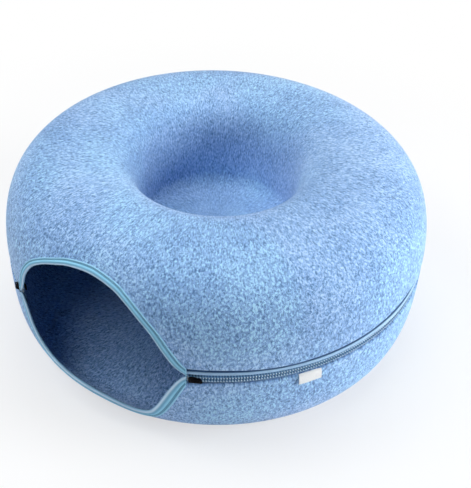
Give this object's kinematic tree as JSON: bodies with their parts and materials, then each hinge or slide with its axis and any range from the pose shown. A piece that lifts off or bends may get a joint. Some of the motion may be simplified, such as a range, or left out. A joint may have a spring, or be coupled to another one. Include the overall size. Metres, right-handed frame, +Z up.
{
  "type": "donut cat tunnel",
  "caption": "Donut-shaped felt cat tunnel and bed: two moulded half rings zipped round the rim, with a lens-shaped bound mouth and a dimpled top.",
  "frame": {"origin": "middle of the overall box at floor height, on the ring's axis to within 2 mm", "axes": "+Z up along the ring's axis; the mouth faces azimuth 237 degrees, between -X and -Y; the back of the ring, where the upper half hinges, is at azimuth 57 degrees"},
  "size_m": [0.5, 0.5031, 0.211],
  "materials": {
    "felt": "heathered needle felt, matt",
    "zip_tape": "woven tape",
    "zip_coil": "nylon coil, satin",
    "lip_binding": "folded woven tape, stitched",
    "end_stop": "pale moulded plastic",
    "slider": "black satin paint",
    "label": "woven satin, blank",
    "centre_patch": "hook and loop"
  },
  "bodies": {
    "lower": {"lower_shell": "felt", "lower_zip_tape": "zip_tape", "lower_zip_coil": "zip_coil", "lower_lip_binding": "lip_binding", "right_lower_end_stop": "end_stop", "left_lower_end_stop": "end_stop", "side_label": "label", "centre_hook_patch": "centre_patch"},
    "upper": {"upper_shell": "felt", "upper_zip_tape": "zip_tape", "upper_zip_coil": "zip_coil", "upper_lip_binding": "lip_binding", "right_upper_end_stop": "end_stop", "left_upper_end_stop": "end_stop", "centre_loop_patch": "centre_patch"},
    "right_slider": {"right_slider_body": "slider"},
    "right_pull": {"right_slider_pull": "slider"},
    "left_slider": {"left_slider_body": "slider"},
    "left_pull": {"left_slider_pull": "slider"}
  },
  "joints": [
    {"name": "upper_half_hinge", "type": "hinge", "parent": "lower", "child": "upper", "pos_m": [0.13698, 0.21093, 0.1005], "axis": [-0.8387, 0.5446, 0], "range_deg": [0, 160]},
    {"name": "right_slider_travel", "type": "hinge", "parent": "lower", "child": "right_slider", "pos_m": [0, 0, 0.1005], "axis": [0, 0, 1], "range_deg": [0, 145]},
    {"name": "left_slider_travel", "type": "hinge", "parent": "lower", "child": "left_slider", "pos_m": [0, 0, 0.1005], "axis": [0, 0, -1], "range_deg": [0, 145]},
    {"name": "right_pull_flip", "type": "hinge", "parent": "right_slider", "child": "right_pull", "pos_m": [-0.01797, -0.25086, 0.1005], "axis": [0, 0, -1], "range_deg": [0, 180]},
    {"name": "left_pull_flip", "type": "hinge", "parent": "left_slider", "child": "left_pull", "pos_m": [-0.22186, -0.11845, 0.1005], "axis": [0, 0, 1], "range_deg": [0, 180]}
  ]
}
